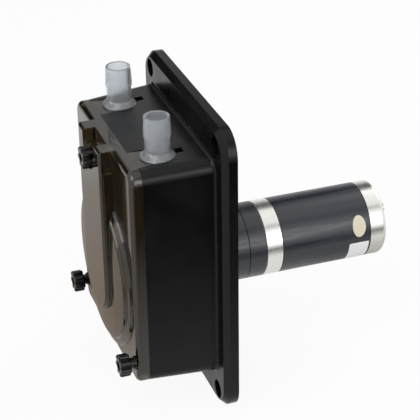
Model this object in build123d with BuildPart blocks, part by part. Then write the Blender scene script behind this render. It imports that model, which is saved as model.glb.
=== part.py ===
from build123d import *
import os

# Peristaltic pump head on a planetary gearmotor, in millimetres.
# The origin lies on the drive axis, in the rear face of the mounting flange, which meets the panel.
# The pump looks towards -Y, +X is to the right seen from the front, and +Z is up.
# Depths are distances in front of the panel face, towards -Y. Behind it they are negative.

# Clearances, and how far a cut or a joined length runs past its neighbour
running_gap = 0.05
slip_gap = 0.15
soft_gap = 0.3
plate_gap = 0.5
overlap = 1.0

# Mounting flange
flange_width = 160.0
flange_height = 203.0
flange_thickness = 9.5
flange_corner = 17.0
flange_chamfer = 3.7
flange_middle = 19.5
hole_spacing_width = 130.0
hole_spacing_height = 180.0
hole_radius = 3.3
head_recess_radius = 6.3
head_recess_depth = 6.0

# Casing, moulded with the flange
casing_width = 125.0
casing_top = 97.0
casing_bottom = -57.0
casing_depth = 46.0
casing_corner = 8.0
side_draft_width = 4.1
top_draft_width = 2.7
bottom_draft_width = 0.7
casing_wall = 3.5
top_wall = 5.5
root_fillet = 2.5
base_depth = 14.0

# Pump tube and its track
tube_radius = 9.5
tube_bore = 6.35
tube_pinched = 5.5
tube_flat_width = 28.0
leg_bottom = 40.0
pinch_steps = 3
port_offset = 41.4
port_depth = 38.8
track_wall = 4.0
rib_thickness = 2.5
rib_drop = 6.0
relief_width = 6.0
relief_length = 5.0
rib_count = 8
rib_start_angle = 200.0
rib_sweep_angle = 140.0
leg_rib_count = 4

# Port fittings
rim_radius = 8.26
barb_radius = 8.83
barb_land = 1.5
barb_neck_radius = 8.15
port_bore = 6.6
spigot_bore = 5.0
barb_top = 124.5
barb_taper = 11.5
shoulder_rise = 3.0
collar_radius = 11.2
collar_length = 3.0
collar_rim = 1.0
groove_radius = 9.3
spigot_length = 18.0

# Cover
cover_wall = 3.0
cover_thickness = 8.1
cover_edge = 3.7
disc_middle = 3.0
disc_radius = 50.5
disc_rise = 4.3
disc_crown = 6.0
ledge_radius = 54.4
ledge_rise = 2.2
foot_radius = 56.6
foot_edge_width = 0.4
foot_step_height = 1.6
ledge_slope_height = 0.3
disc_draft_width = 0.8
dome_edge_radius = 0.8
tongue_half = 24.5
tongue_middle = -4.0
tongue_rise = 8.8
tongue_edge = 2.2
notch_half = 13.5
notch_bottom = 86.0
pocket_gap = 1.0
seat_rise = 3.0
tab_half = 11.2
tab_reach = 12.0

# Thumb-screws, one at the top and one at each lower corner
top_screw_height = 83.6
side_screw_offset = 56.5
side_screw_height = -42.0
stud_radius = 2.45
stud_reach = 20.0
stud_tip_chamfer = 0.6
boss_radius = 5.5
insert_radius = 3.5
insert_length = 12.0
insert_sink_depth = 1.0
washer_radius = 4.6
washer_thickness = 1.2
stem_radius = 3.6
stem_length = 2.8
knob_radius = 7.7
knob_lobe_radius = 2.0
knob_lobe_count = 7
knob_edge_width = 0.7
knob_length = 7.2
knob_hollow_radius = 3.2
knob_hollow_depth = 2.0

# Rotor
roller_count = 4
roller_radius = 12.0
roller_length = 29.0
roller_edge_radius = 1.5
pin_radius = 3.0
pin_head_radius = 4.6
pin_head_length = 1.5
pin_head_edge = 0.5
bush_radius = 5.0
bush_flange_radius = 6.5
bush_flange_length = 1.0
bush_length = 8.0
end_gap = 0.3
plate_thickness = 4.0
arm_width = 20.0
hub_radius = 14.0
plate_hub_radius = 20.7
carrier_screw_radius = 1.5
carrier_head_radius = 2.8
carrier_screw_circle = 10.2
carrier_screw_length = 12.0
end_screw_radius = 2.5
end_head_radius = 4.5
end_head_length = 3.0
end_head_edge = 1.0
end_screw_length = 16.0
end_washer_radius = 9.0
end_washer_thickness = 1.5

# Gearmotor
motor_radius = 26.0
socket_depth = 3.0
nose_radius = 16.0
nose_length = 4.0
shaft_radius = 6.0
shaft_hole_radius = 8.0
shaft_root = -14.0
key_width = 4.0
key_height = 4.0
key_sink = 2.4
key_length = 22.0
bearing_radius = 14.0
bearing_length = 8.0
drive_screw_circle = 20.5
drive_screw_radius = 2.5
drive_head_radius = 4.25
drive_head_length = 5.0
drive_head_sink = 1.0
drive_screw_count = 4
drive_screw_length = 20.0
coring_outer = 47.0
coring_inner = 31.0
coring_rib_count = 8
gearbox_seam = 28.9
gearbox_end = 41.3
adapter_end = 52.8
can_end = 117.9
cap_end = 130.1
cap_edge = 3.0
seam_chamfer = 0.3
cap_boss_radius = 8.0
cap_boss_length = 3.0
cap_screw_circle = 19.0
cap_screw_radius = 1.5
cap_head_radius = 2.8
cap_head_length = 1.8
cap_slot_width = 0.75
cap_screw_length = 8.0
terminal_offset = 12.0
terminal_width = 6.3
terminal_thickness = 0.8
terminal_reach = 5.0
terminal_angle = -45.0
terminal_hole_radius = 0.9
terminal_hole_reach = 3.7
terminal_block_width = 12.0
terminal_block_rise = 2.0
terminal_block_corner = 1.0

# Worked out from the sizes above
joint_depth = flange_thickness + casing_depth
face_depth = joint_depth + cover_thickness
casing_height = casing_top - casing_bottom
casing_middle = (casing_top + casing_bottom) / 2
root_top = casing_top + top_draft_width
root_bottom = casing_bottom - bottom_draft_width
inner_top = casing_top - top_wall
inner_bottom = casing_bottom + casing_wall
inner_height = inner_top - inner_bottom
inner_middle = (inner_top + inner_bottom) / 2
inner_width = casing_width - 2 * casing_wall
inner_corner = casing_corner - casing_wall
track_radius = port_offset + tube_radius + soft_gap
track_outer = track_radius + track_wall
pinch_middle = track_radius - soft_gap - tube_pinched / 2
pin_circle = pinch_middle - tube_pinched / 2 - soft_gap - roller_radius
groove_top = casing_top + soft_gap
groove_bottom = inner_top - slip_gap
spigot_top = groove_bottom - collar_length
front_plate_back = port_depth + roller_length / 2 + end_gap
front_plate_front = front_plate_back + plate_thickness
rear_plate_front = port_depth - roller_length / 2 - end_gap
rear_plate_back = rear_plate_front - plate_thickness
track_floor = rear_plate_back - plate_gap
shaft_tip = front_plate_front - soft_gap
nose_depth = socket_depth + nose_length
key_start = port_depth - key_length / 2
pocket_radius = knob_radius + pocket_gap
screw_places = [
    (0, top_screw_height),
    (-side_screw_offset, side_screw_height),
    (side_screw_offset, side_screw_height),
]
screw_seats = [face_depth + seat_rise, face_depth, face_depth]
screw_names = ["top", "left", "right"]


def at_depth(depth):
    """The plane that far in front of the panel face, with its local axes along X and Z."""
    return Plane.XZ.offset(depth)


def keep(name, label):
    """Labels a finished piece and writes it under its own name."""
    name.part.label = label
    export_step(name.part, f"parts/{label}.step")


def u_profile(radius, top, mode=Mode.ADD, middle=0.0):
    """A half disc, centred at the height middle, whose sides run straight up to the height top."""
    with Locations((0, middle)):
        Circle(radius, mode=mode)
        Rectangle(2 * radius, top - middle, align=(Align.CENTER, Align.MIN), mode=mode)


def slot_from_front(place, radius):
    """A slot round a port's axis that is open towards the front of the casing."""
    with Locations(place):
        Circle(radius)
        Rectangle(2 * radius, casing_depth, align=(Align.CENTER, Align.MAX))


os.makedirs("parts", exist_ok=True)

# ---------------------------------------------------------------- housing
with BuildPart() as pump_housing:
    # flange plate with its wide front chamfer
    with BuildSketch(at_depth(0)):
        with Locations((0, flange_middle)):
            RectangleRounded(flange_width, flange_height, flange_corner)
    extrude(amount=flange_thickness)
    chamfer(pump_housing.faces().sort_by(Axis.Y)[0].edges(), flange_chamfer)

    # drafted casing, wider at the flange than at the cover
    with BuildSketch(at_depth(flange_thickness)):
        with Locations((0, (root_top + root_bottom) / 2)):
            RectangleRounded(casing_width + 2 * side_draft_width, root_top - root_bottom, casing_corner)
    with BuildSketch(at_depth(joint_depth)):
        with Locations((0, casing_middle)):
            RectangleRounded(casing_width, casing_height, casing_corner)
    loft()
    flange_front = pump_housing.faces().filter_by(Axis.Y).sort_by(Axis.Y)[1]
    fillet(flange_front.inner_wires()[0].edges(), root_fillet)

    # the inside is cored out round the track
    with BuildSketch(at_depth(base_depth)):
        with Locations((0, inner_middle)):
            RectangleRounded(inner_width, inner_height, inner_corner)
    extrude(amount=joint_depth - base_depth, mode=Mode.SUBTRACT)

    # floor and wall of the track that the rollers press the tube against
    with BuildSketch(at_depth(base_depth)):
        u_profile(track_outer, inner_top + overlap)
    extrude(amount=track_floor - base_depth)
    with BuildSketch(at_depth(base_depth)):
        u_profile(track_outer, inner_top + overlap)
        u_profile(track_radius, inner_top + overlap, mode=Mode.SUBTRACT)
    extrude(amount=joint_depth - base_depth)

    # ribs between the track and the outer walls
    with BuildSketch(at_depth(base_depth)):
        with PolarLocations(0, rib_count, start_angle=rib_start_angle, angular_range=rib_sweep_angle):
            Rectangle(2 * casing_height, rib_thickness, align=(Align.MIN, Align.CENTER))
        with GridLocations(1, inner_top / leg_rib_count, 1, leg_rib_count):
            with Locations((0, inner_top / 2)):
                Rectangle(casing_width, rib_thickness)
        with Locations((0, inner_middle)):
            RectangleRounded(
                inner_width + casing_wall, inner_height + casing_wall, inner_corner, mode=Mode.INTERSECT
            )
        u_profile(track_radius + track_wall / 2, casing_top, mode=Mode.SUBTRACT)
    extrude(amount=joint_depth - base_depth - rib_drop)

    # bosses for the thumb-screws' inserts, the top one tied to the top wall by a web
    with BuildSketch(at_depth(base_depth)):
        with Locations(*screw_places):
            Circle(boss_radius)
        with Locations(screw_places[0]):
            Rectangle(rib_thickness, inner_top - top_screw_height, align=(Align.CENTER, Align.MIN))
    extrude(amount=joint_depth - base_depth)
    with Locations(at_depth(joint_depth)):
        with Locations(*screw_places):
            Hole(insert_radius, depth=insert_sink_depth + insert_length)
            Hole(stud_radius + slip_gap, depth=stud_reach)

    # seats of the two port fittings in the top wall, open to the front
    for side in (-1, 1):
        port = (side * port_offset, -port_depth)
        with BuildSketch(Plane.XY.offset(inner_top - overlap)):
            slot_from_front(port, groove_radius + slip_gap)
            with Locations((side * port_offset, tab_reach - joint_depth)):
                Rectangle(2 * (tab_half + slip_gap), casing_depth, align=(Align.CENTER, Align.MAX))
        extrude(amount=casing_height, mode=Mode.SUBTRACT)
        with BuildSketch(Plane.XY.offset(inner_top)):
            slot_from_front(port, collar_radius + soft_gap)
        extrude(amount=-collar_length - soft_gap, mode=Mode.SUBTRACT)
        with BuildSketch(Plane.XY.offset(groove_top - slip_gap)):
            with Locations(port):
                Circle(collar_radius + soft_gap)
        extrude(amount=casing_height, mode=Mode.SUBTRACT)
        # relief behind the collar, where a blade lifts the fitting out
        with BuildSketch(Plane.XY.offset(inner_top)):
            with Locations(port):
                Rectangle(relief_width, collar_radius + relief_length, align=(Align.CENTER, Align.MIN))
        extrude(amount=casing_height, mode=Mode.SUBTRACT)

    # drive side: socket for the gearbox, pilot bore, shaft hole and sunk holes for the drive screws
    with Locations(Plane(origin=(0, 0, 0), x_dir=(1, 0, 0), z_dir=(0, 1, 0))):
        CounterBoreHole(
            nose_radius + running_gap, motor_radius + slip_gap, socket_depth, depth=nose_depth
        )
        Hole(shaft_hole_radius, depth=track_floor)
    with Locations(at_depth(track_floor)):
        with PolarLocations(drive_screw_circle, drive_screw_count, start_angle=180 / drive_screw_count):
            CounterBoreHole(
                drive_screw_radius + 2 * slip_gap, drive_head_radius + slip_gap,
                drive_head_length + drive_head_sink, depth=track_floor,
            )

    # the floor is cored from behind, between ribs
    with BuildSketch(at_depth(0)):
        Circle(coring_outer)
        Circle(coring_inner, mode=Mode.SUBTRACT)
        with PolarLocations(0, coring_rib_count):
            Rectangle(casing_width, track_wall, align=(Align.MIN, Align.CENTER), mode=Mode.SUBTRACT)
    extrude(amount=base_depth, mode=Mode.SUBTRACT)

    # four panel holes, sunk for the screw heads
    with Locations(at_depth(flange_thickness)):
        with Locations((0, flange_middle)):
            with GridLocations(hole_spacing_width, hole_spacing_height, 2, 2):
                CounterBoreHole(hole_radius, head_recess_radius, head_recess_depth)

keep(pump_housing, "pump_housing")

with BuildPart() as threaded_inserts:
    with BuildSketch(at_depth(joint_depth - insert_sink_depth)):
        with Locations(*screw_places):
            Circle(insert_radius)
            Circle(stud_radius + running_gap, mode=Mode.SUBTRACT)
    extrude(amount=-insert_length)

keep(threaded_inserts, "threaded_inserts")

with BuildPart() as drive_screws:
    head_seat = track_floor - drive_head_length - drive_head_sink
    with BuildSketch(at_depth(head_seat)):
        with PolarLocations(drive_screw_circle, drive_screw_count, start_angle=180 / drive_screw_count):
            Circle(drive_head_radius)
    extrude(amount=drive_head_length)
    with BuildSketch(at_depth(head_seat + drive_head_length)):
        with PolarLocations(drive_screw_circle, drive_screw_count, start_angle=180 / drive_screw_count):
            RegularPolygon(drive_screw_radius, 6)
    extrude(amount=-drive_head_length / 2, mode=Mode.SUBTRACT)
    with BuildSketch(at_depth(head_seat)):
        with PolarLocations(drive_screw_circle, drive_screw_count, start_angle=180 / drive_screw_count):
            Circle(drive_screw_radius)
    extrude(amount=-drive_screw_length)

keep(drive_screws, "drive_screws")

# ---------------------------------------------------------------- cover
with BuildPart() as front_cover:
    # plate with rounded front edges
    with BuildSketch(at_depth(joint_depth)):
        with Locations((0, casing_middle)):
            RectangleRounded(casing_width, casing_height, casing_corner)
    extrude(amount=cover_thickness)
    fillet(front_cover.faces().sort_by(Axis.Y)[0].edges(), cover_edge)

    # stepped round dome over the rotor, slightly crowned
    dome_plane = Plane(origin=(0, -face_depth, disc_middle), x_dir=(1, 0, 0), z_dir=(0, 0, 1))
    with BuildSketch(dome_plane) as dome_half:
        with BuildLine():
            Polyline(
                (0, -disc_crown),
                (0, cover_edge),
                (foot_radius, cover_edge),
                (foot_radius, 0),
                (foot_radius - foot_edge_width, -foot_step_height),
                (ledge_radius, -ledge_rise),
                (disc_radius + disc_draft_width, -ledge_rise - ledge_slope_height),
                (disc_radius, -disc_rise),
            )
            # halfway out, a flat arc has fallen by a quarter of its whole fall
            crown_halfway = (disc_radius / 2, -disc_crown + (disc_crown - disc_rise) / 4)
            ThreePointArc((disc_radius, -disc_rise), crown_halfway, (0, -disc_crown))
        make_face()
        dome_edges = dome_half.vertices().filter_by_position(
            Axis.X, disc_radius, foot_radius, inclusive=(True, False)
        )
        fillet(dome_edges, dome_edge_radius)
    revolve(axis=Axis((0, 0, disc_middle), (0, 1, 0)))

    # raised tongue from the top edge down past the drive axis
    with BuildSketch(at_depth(face_depth - cover_edge)):
        u_profile(tongue_half, casing_top, middle=tongue_middle)
    extrude(amount=tongue_rise + cover_edge)
    fillet(front_cover.faces().sort_by(Axis.Y)[0].edges(), tongue_edge)

    # notch for the top thumb-screw, with a raised seat in its round pocket
    with BuildSketch(at_depth(face_depth)):
        with Locations((0, notch_bottom)):
            Rectangle(2 * notch_half, casing_height, align=(Align.CENTER, Align.MIN))
        with Locations(screw_places[0]):
            Circle(pocket_radius)
    extrude(amount=tongue_rise + overlap, mode=Mode.SUBTRACT)
    with BuildSketch(at_depth(face_depth - cover_wall / 2)):
        with Locations(screw_places[0]):
            Circle(pocket_radius)
    extrude(amount=cover_wall / 2 + seat_rise)

    # the moulding is hollow behind the plate, the dome and the tongue
    with BuildSketch(at_depth(joint_depth)):
        with Locations((0, inner_middle)):
            RectangleRounded(inner_width, inner_height, inner_corner)
    extrude(amount=cover_thickness - cover_wall, mode=Mode.SUBTRACT)
    with BuildSketch(at_depth(joint_depth)):
        with Locations((0, disc_middle)):
            Circle(disc_radius - cover_wall)
    extrude(amount=cover_thickness + disc_rise - cover_wall, mode=Mode.SUBTRACT)
    with BuildSketch(at_depth(joint_depth)):
        u_profile(tongue_half - cover_wall, notch_bottom - 2 * cover_wall, middle=tongue_middle)
        with Locations(screw_places[0]):
            Circle(pocket_radius + cover_wall, mode=Mode.SUBTRACT)
    extrude(amount=cover_thickness + tongue_rise - cover_wall, mode=Mode.SUBTRACT)

    # bosses that meet the casing's, with the screw holes through them
    with BuildSketch(at_depth(joint_depth)):
        with Locations(*screw_places):
            Circle(boss_radius)
    extrude(amount=cover_thickness - cover_wall / 2)
    with Locations(at_depth(face_depth + seat_rise)):
        with Locations(*screw_places):
            Hole(stud_radius + slip_gap, depth=cover_thickness + seat_rise)

    # tabs that reach back into the top wall and close the seats of the port fittings
    for side in (-1, 1):
        with BuildSketch(Plane.XY.offset(inner_top)):
            with Locations((side * port_offset, tab_reach - joint_depth)):
                Rectangle(2 * tab_half, tab_reach, align=(Align.CENTER, Align.MAX))
            with Locations((side * port_offset, -port_depth)):
                Circle(groove_radius + slip_gap, mode=Mode.SUBTRACT)
        extrude(amount=top_wall)

keep(front_cover, "front_cover")

with BuildPart() as knob_washers:
    for place, seat_depth in zip(screw_places, screw_seats):
        with BuildSketch(at_depth(seat_depth)):
            with Locations(place):
                Circle(washer_radius)
                Circle(stud_radius + slip_gap, mode=Mode.SUBTRACT)
        extrude(amount=washer_thickness)

keep(knob_washers, "knob_washers")

# ---------------------------------------------------------------- thumb-screws
stud_tip_depth = joint_depth - stud_reach + overlap
for screw_name, place, seat_depth in zip(screw_names, screw_places, screw_seats):
    stem_depth = seat_depth + washer_thickness + running_gap
    head_depth = stem_depth + stem_length
    stud_end_depth = head_depth + knob_length - knob_hollow_depth
    with BuildPart() as knob:
        # fluted head with a hollow front, on a plain stem
        with BuildSketch(at_depth(head_depth)):
            with Locations(place):
                Circle(knob_radius - knob_lobe_radius)
                with PolarLocations(knob_radius - knob_lobe_radius, knob_lobe_count, start_angle=90):
                    Circle(knob_lobe_radius)
        extrude(amount=knob_length)
        chamfer(knob.faces().filter_by(Axis.Y).edges(), knob_edge_width)
        with BuildSketch(at_depth(stem_depth)):
            with Locations(place):
                Circle(stem_radius)
        extrude(amount=stem_length)
        with Locations(at_depth(head_depth + knob_length)):
            with Locations(place):
                CounterBoreHole(stud_radius, knob_hollow_radius, knob_hollow_depth)
    keep(knob, f"knob_{screw_name}")

    with BuildPart() as stud:
        with BuildSketch(at_depth(stud_tip_depth)):
            with Locations(place):
                Circle(stud_radius)
        extrude(amount=stud_end_depth - stud_tip_depth)
        chamfer(stud.faces().sort_by(Axis.Y)[-1].edges(), stud_tip_chamfer)
    keep(stud, f"stud_{screw_name}")

# ---------------------------------------------------------------- tube and port fittings
with BuildPart() as pump_tube:
    for side in (-1, 1):
        # round leg down from the fitting, bored for its spigot
        with BuildSketch(Plane.XY.offset(leg_bottom)):
            with Locations((side * port_offset, -port_depth)):
                Circle(tube_radius)
        extrude(amount=spigot_top - leg_bottom)
        with Locations(Plane.XY.offset(spigot_top)):
            with Locations((side * port_offset, -port_depth)):
                Hole(tube_bore, depth=spigot_top - leg_bottom)
        # the leg flattens as it runs in under the rollers' path
        for step in range(pinch_steps + 1):
            share = (step / pinch_steps) ** 2
            half_thickness = tube_pinched / 2 + (tube_radius - tube_pinched / 2) * share
            half_width = tube_flat_width / 2 + (tube_radius - tube_flat_width / 2) * share
            with BuildSketch(Plane.XY.offset(leg_bottom * step / pinch_steps)):
                with Locations((side * (track_radius - soft_gap - half_thickness), -port_depth)):
                    Ellipse(half_thickness, half_width)
        loft()
    # pinched bend along the track
    with BuildSketch(Plane.XY):
        with Locations((pinch_middle, -port_depth)):
            Ellipse(tube_pinched / 2, tube_flat_width / 2)
    revolve(axis=Axis.Y, revolution_arc=180)

keep(pump_tube, "pump_tube")

for side, label in ((-1, "port_left"), (1, "port_right")):
    with BuildPart() as port_fitting:
        port_origin = (side * port_offset, -port_depth, 0)
        with BuildSketch(Plane(origin=port_origin, x_dir=(1, 0, 0), z_dir=(0, -1, 0))):
            with BuildLine():
                Polyline(
                    (port_bore, barb_top),
                    (rim_radius, barb_top),
                    (barb_radius, barb_top - barb_taper),
                    (barb_radius, barb_top - barb_taper - barb_land),
                    (barb_neck_radius, barb_top - barb_taper - barb_land),
                    (barb_neck_radius, groove_top + collar_rim + shoulder_rise),
                    (collar_radius, groove_top + collar_rim),
                    (collar_radius, groove_top),
                    (groove_radius, groove_top),
                    (groove_radius, groove_bottom),
                    (collar_radius, groove_bottom),
                    (collar_radius, spigot_top),
                    (tube_bore, spigot_top),
                    (tube_bore, spigot_top - spigot_length),
                    (spigot_bore, spigot_top - spigot_length),
                    (spigot_bore, spigot_top),
                    (port_bore, groove_bottom),
                    close=True,
                )
            make_face()
        revolve(axis=Axis(port_origin, (0, 0, 1)))
    keep(port_fitting, label)


# ---------------------------------------------------------------- rotor
def rotor_arms():
    """The outline of a rotor plate, with one round-ended arm for each roller."""
    with PolarLocations(pin_circle / 2, roller_count):
        SlotCenterToCenter(pin_circle, arm_width)
    Circle(plate_hub_radius)


with BuildPart() as rotor_carrier:
    # rear plate and the hub that carries the front plate
    with BuildSketch(at_depth(rear_plate_back)):
        rotor_arms()
    extrude(amount=plate_thickness)
    with BuildSketch(at_depth(rear_plate_back)):
        Circle(hub_radius)
    extrude(amount=front_plate_back - rear_plate_back)
    with BuildSketch(at_depth(rear_plate_back)):
        with PolarLocations(pin_circle, roller_count):
            Circle(pin_radius)
        Circle(shaft_radius)
        with Locations((0, shaft_radius)):
            Rectangle(key_width, 2 * (key_height - key_sink))
    extrude(amount=front_plate_back, mode=Mode.SUBTRACT)
    with Locations(at_depth(front_plate_back)):
        with PolarLocations(carrier_screw_circle, roller_count, start_angle=180 / roller_count):
            Hole(carrier_screw_radius, depth=carrier_screw_length)

keep(rotor_carrier, "rotor_carrier")

with BuildPart() as rotor_front_plate:
    with BuildSketch(at_depth(front_plate_back)):
        rotor_arms()
        Circle(shaft_radius, mode=Mode.SUBTRACT)
        with PolarLocations(pin_circle, roller_count):
            Circle(pin_radius, mode=Mode.SUBTRACT)
    extrude(amount=plate_thickness)
    with Locations(at_depth(front_plate_front)):
        with PolarLocations(carrier_screw_circle, roller_count, start_angle=180 / roller_count):
            CounterSinkHole(carrier_screw_radius, carrier_head_radius)

keep(rotor_front_plate, "rotor_front_plate")

with BuildPart() as rotor_screws:
    # countersunk screws that hold the front plate to the hub
    screw_head_length = carrier_head_radius - carrier_screw_radius
    with BuildSketch(at_depth(front_plate_front - screw_head_length)):
        with PolarLocations(carrier_screw_circle, roller_count, start_angle=180 / roller_count):
            Circle(carrier_screw_radius)
    extrude(amount=screw_head_length, taper=-45)
    with BuildSketch(at_depth(front_plate_front - screw_head_length)):
        with PolarLocations(carrier_screw_circle, roller_count, start_angle=180 / roller_count):
            Circle(carrier_screw_radius)
    extrude(amount=-carrier_screw_length)
    with BuildSketch(at_depth(front_plate_front)):
        with PolarLocations(carrier_screw_circle, roller_count, start_angle=180 / roller_count):
            RegularPolygon(carrier_screw_radius, 6)
    extrude(amount=-screw_head_length, mode=Mode.SUBTRACT)

keep(rotor_screws, "rotor_screws")

with BuildPart() as roller_pins:
    with BuildSketch(at_depth(rear_plate_back)):
        with PolarLocations(pin_circle, roller_count):
            Circle(pin_radius)
    extrude(amount=front_plate_front - rear_plate_back)
    with BuildSketch(at_depth(front_plate_front)):
        with PolarLocations(pin_circle, roller_count):
            Circle(pin_head_radius)
    extrude(amount=pin_head_length)
    chamfer(roller_pins.faces().sort_by(Axis.Y)[:roller_count].edges(), pin_head_edge)

keep(roller_pins, "roller_pins")

roller_places = PolarLocations(pin_circle, roller_count).local_locations
for number, place in enumerate(roller_places, start=1):
    centre = (place.position.X, place.position.Y)
    with BuildPart() as roller:
        with BuildSketch(at_depth(port_depth - roller_length / 2)):
            with Locations(centre):
                Circle(roller_radius)
        extrude(amount=roller_length)
        ends = roller.faces().filter_by(Axis.Y)
        fillet(ends.edges(), roller_edge_radius)
        with BuildSketch(at_depth(port_depth - roller_length / 2)):
            with Locations(centre):
                Circle(bush_radius)
        extrude(amount=roller_length, mode=Mode.SUBTRACT)
        for end in (-1, 1):
            with BuildSketch(at_depth(port_depth + end * roller_length / 2)):
                with Locations(centre):
                    Circle(bush_flange_radius)
            extrude(amount=-end * bush_flange_length, mode=Mode.SUBTRACT)
    keep(roller, f"roller_{number}")

    with BuildPart() as bushes:
        # a flanged bush pressed into each end of the roller
        for end in (-1, 1):
            with BuildSketch(at_depth(port_depth + end * roller_length / 2)):
                with Locations(centre):
                    Circle(bush_flange_radius)
                    Circle(pin_radius + running_gap, mode=Mode.SUBTRACT)
            extrude(amount=-end * bush_flange_length)
            with BuildSketch(at_depth(port_depth + end * roller_length / 2)):
                with Locations(centre):
                    Circle(bush_radius)
                    Circle(pin_radius + running_gap, mode=Mode.SUBTRACT)
            extrude(amount=-end * bush_length)
    keep(bushes, f"roller_bushes_{number}")

with BuildPart() as output_shaft:
    with BuildSketch(at_depth(shaft_root)):
        Circle(shaft_radius)
    extrude(amount=shaft_tip - shaft_root)
    chamfer(output_shaft.faces().sort_by(Axis.Y)[0].edges(), 2 * seam_chamfer)
    with BuildSketch(at_depth(key_start)):
        with Locations((0, shaft_radius)):
            Rectangle(key_width, 2 * key_sink)
    extrude(amount=key_length, mode=Mode.SUBTRACT)
    with Locations(at_depth(shaft_tip)):
        Hole(end_screw_radius, depth=end_screw_length)

keep(output_shaft, "output_shaft")

with BuildPart() as shaft_key:
    with BuildSketch(at_depth(key_start)):
        with Locations((0, shaft_radius - key_sink)):
            Rectangle(key_width, key_height, align=(Align.CENTER, Align.MIN))
    extrude(amount=key_length)

keep(shaft_key, "shaft_key")

with BuildPart() as shaft_washer:
    with BuildSketch(at_depth(front_plate_front)):
        Circle(end_washer_radius)
        Circle(end_screw_radius, mode=Mode.SUBTRACT)
    extrude(amount=end_washer_thickness)

keep(shaft_washer, "shaft_washer")

with BuildPart() as shaft_screw:
    with BuildSketch(at_depth(front_plate_front + end_washer_thickness)):
        Circle(end_head_radius)
    extrude(amount=end_head_length)
    fillet(shaft_screw.faces().sort_by(Axis.Y)[0].edges(), end_head_edge)
    with BuildSketch(at_depth(front_plate_front + end_washer_thickness + end_head_length)):
        RegularPolygon(end_screw_radius, 6)
    extrude(amount=-end_head_length / 2, mode=Mode.SUBTRACT)
    with BuildSketch(at_depth(front_plate_front + end_washer_thickness)):
        Circle(end_screw_radius)
    extrude(amount=-end_screw_length)

keep(shaft_screw, "shaft_screw")

# ---------------------------------------------------------------- gearmotor
with BuildPart() as output_bearing:
    with BuildSketch(at_depth(nose_depth)):
        Circle(bearing_radius)
        Circle(shaft_radius + running_gap, mode=Mode.SUBTRACT)
    extrude(amount=-bearing_length)

keep(output_bearing, "output_bearing")

with BuildPart() as gearbox_front:
    # round case with a pilot nose that holds the output bearing
    with BuildSketch(at_depth(socket_depth)):
        Circle(motor_radius)
    extrude(amount=-gearbox_seam - socket_depth)
    chamfer(gearbox_front.faces().filter_by(Axis.Y).edges(), seam_chamfer)
    with BuildSketch(at_depth(socket_depth)):
        Circle(nose_radius)
    extrude(amount=nose_length)
    with Locations(at_depth(nose_depth)):
        shaft_bore_depth = nose_depth - shaft_root + overlap
        CounterBoreHole(shaft_hole_radius, bearing_radius, bearing_length, depth=shaft_bore_depth)
    with Locations(at_depth(socket_depth)):
        with PolarLocations(drive_screw_circle, drive_screw_count, start_angle=180 / drive_screw_count):
            Hole(drive_screw_radius, depth=drive_screw_length)

keep(gearbox_front, "gearbox_front")

# plain round sections of the gearmotor, with chamfered seams
motor_sections = [
    ("gearbox_rear", gearbox_seam, gearbox_end),
    ("adapter_ring", gearbox_end, adapter_end),
    ("motor_can", adapter_end, can_end),
]
for label, start, end in motor_sections:
    with BuildPart() as motor_section:
        with BuildSketch(at_depth(-start)):
            Circle(motor_radius)
        extrude(amount=start - end)
        chamfer(motor_section.faces().filter_by(Axis.Y).edges(), seam_chamfer)
    keep(motor_section, label)

with BuildPart() as motor_end_cap:
    with BuildSketch(at_depth(-can_end)):
        Circle(motor_radius)
    extrude(amount=can_end - cap_end)
    fillet(motor_end_cap.faces().sort_by(Axis.Y)[-1].edges(), cap_edge)
    with BuildSketch(at_depth(-cap_end)):
        Circle(cap_boss_radius)
    extrude(amount=-cap_boss_length)
    chamfer(motor_end_cap.faces().sort_by(Axis.Y)[-1].edges(), seam_chamfer)
    with BuildSketch(at_depth(-cap_end)):
        with PolarLocations(cap_screw_circle, 2, start_angle=terminal_angle + 90):
            Circle(cap_screw_radius)
    extrude(amount=cap_screw_length, mode=Mode.SUBTRACT)

keep(motor_end_cap, "motor_end_cap")

with BuildPart() as cap_screws:
    with BuildSketch(at_depth(-cap_end)):
        with PolarLocations(cap_screw_circle, 2, start_angle=terminal_angle + 90):
            Circle(cap_head_radius)
    extrude(amount=-cap_head_length)
    with BuildSketch(at_depth(-cap_end)):
        with PolarLocations(cap_screw_circle, 2, start_angle=terminal_angle + 90):
            Circle(cap_screw_radius)
    extrude(amount=cap_screw_length)
    with BuildSketch(at_depth(-cap_end - cap_head_length)):
        with PolarLocations(cap_screw_circle, 2, start_angle=terminal_angle + 90):
            Rectangle(2 * cap_head_radius, cap_slot_width)
            Rectangle(cap_slot_width, 2 * cap_screw_radius)
    extrude(amount=cap_head_length / 2, mode=Mode.SUBTRACT)

keep(cap_screws, "cap_screws")

with BuildPart() as terminal_blocks:
    with BuildSketch(at_depth(-cap_end)):
        with PolarLocations(terminal_offset, 2, start_angle=terminal_angle):
            RectangleRounded(terminal_block_width / 2, terminal_block_width, terminal_block_corner)
            Rectangle(terminal_thickness, terminal_width, mode=Mode.SUBTRACT)
    extrude(amount=-terminal_block_rise)

keep(terminal_blocks, "terminal_blocks")

with BuildPart() as terminals:
    with BuildSketch(at_depth(-cap_end)):
        with PolarLocations(terminal_offset, 2, start_angle=terminal_angle):
            Rectangle(terminal_thickness, terminal_width)
    extrude(amount=-terminal_reach)
    with Locations(Location((0, cap_end + terminal_hole_reach, 0), (0, 90 - terminal_angle, 0))):
        Cylinder(terminal_hole_radius, 4 * terminal_offset, mode=Mode.SUBTRACT)

keep(terminals, "terminals")
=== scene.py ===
"""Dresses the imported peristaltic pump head.

Every CAD part gets its finish, the pump tube and two bare stickers are built, and the stage is set.
"""

import math

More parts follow.
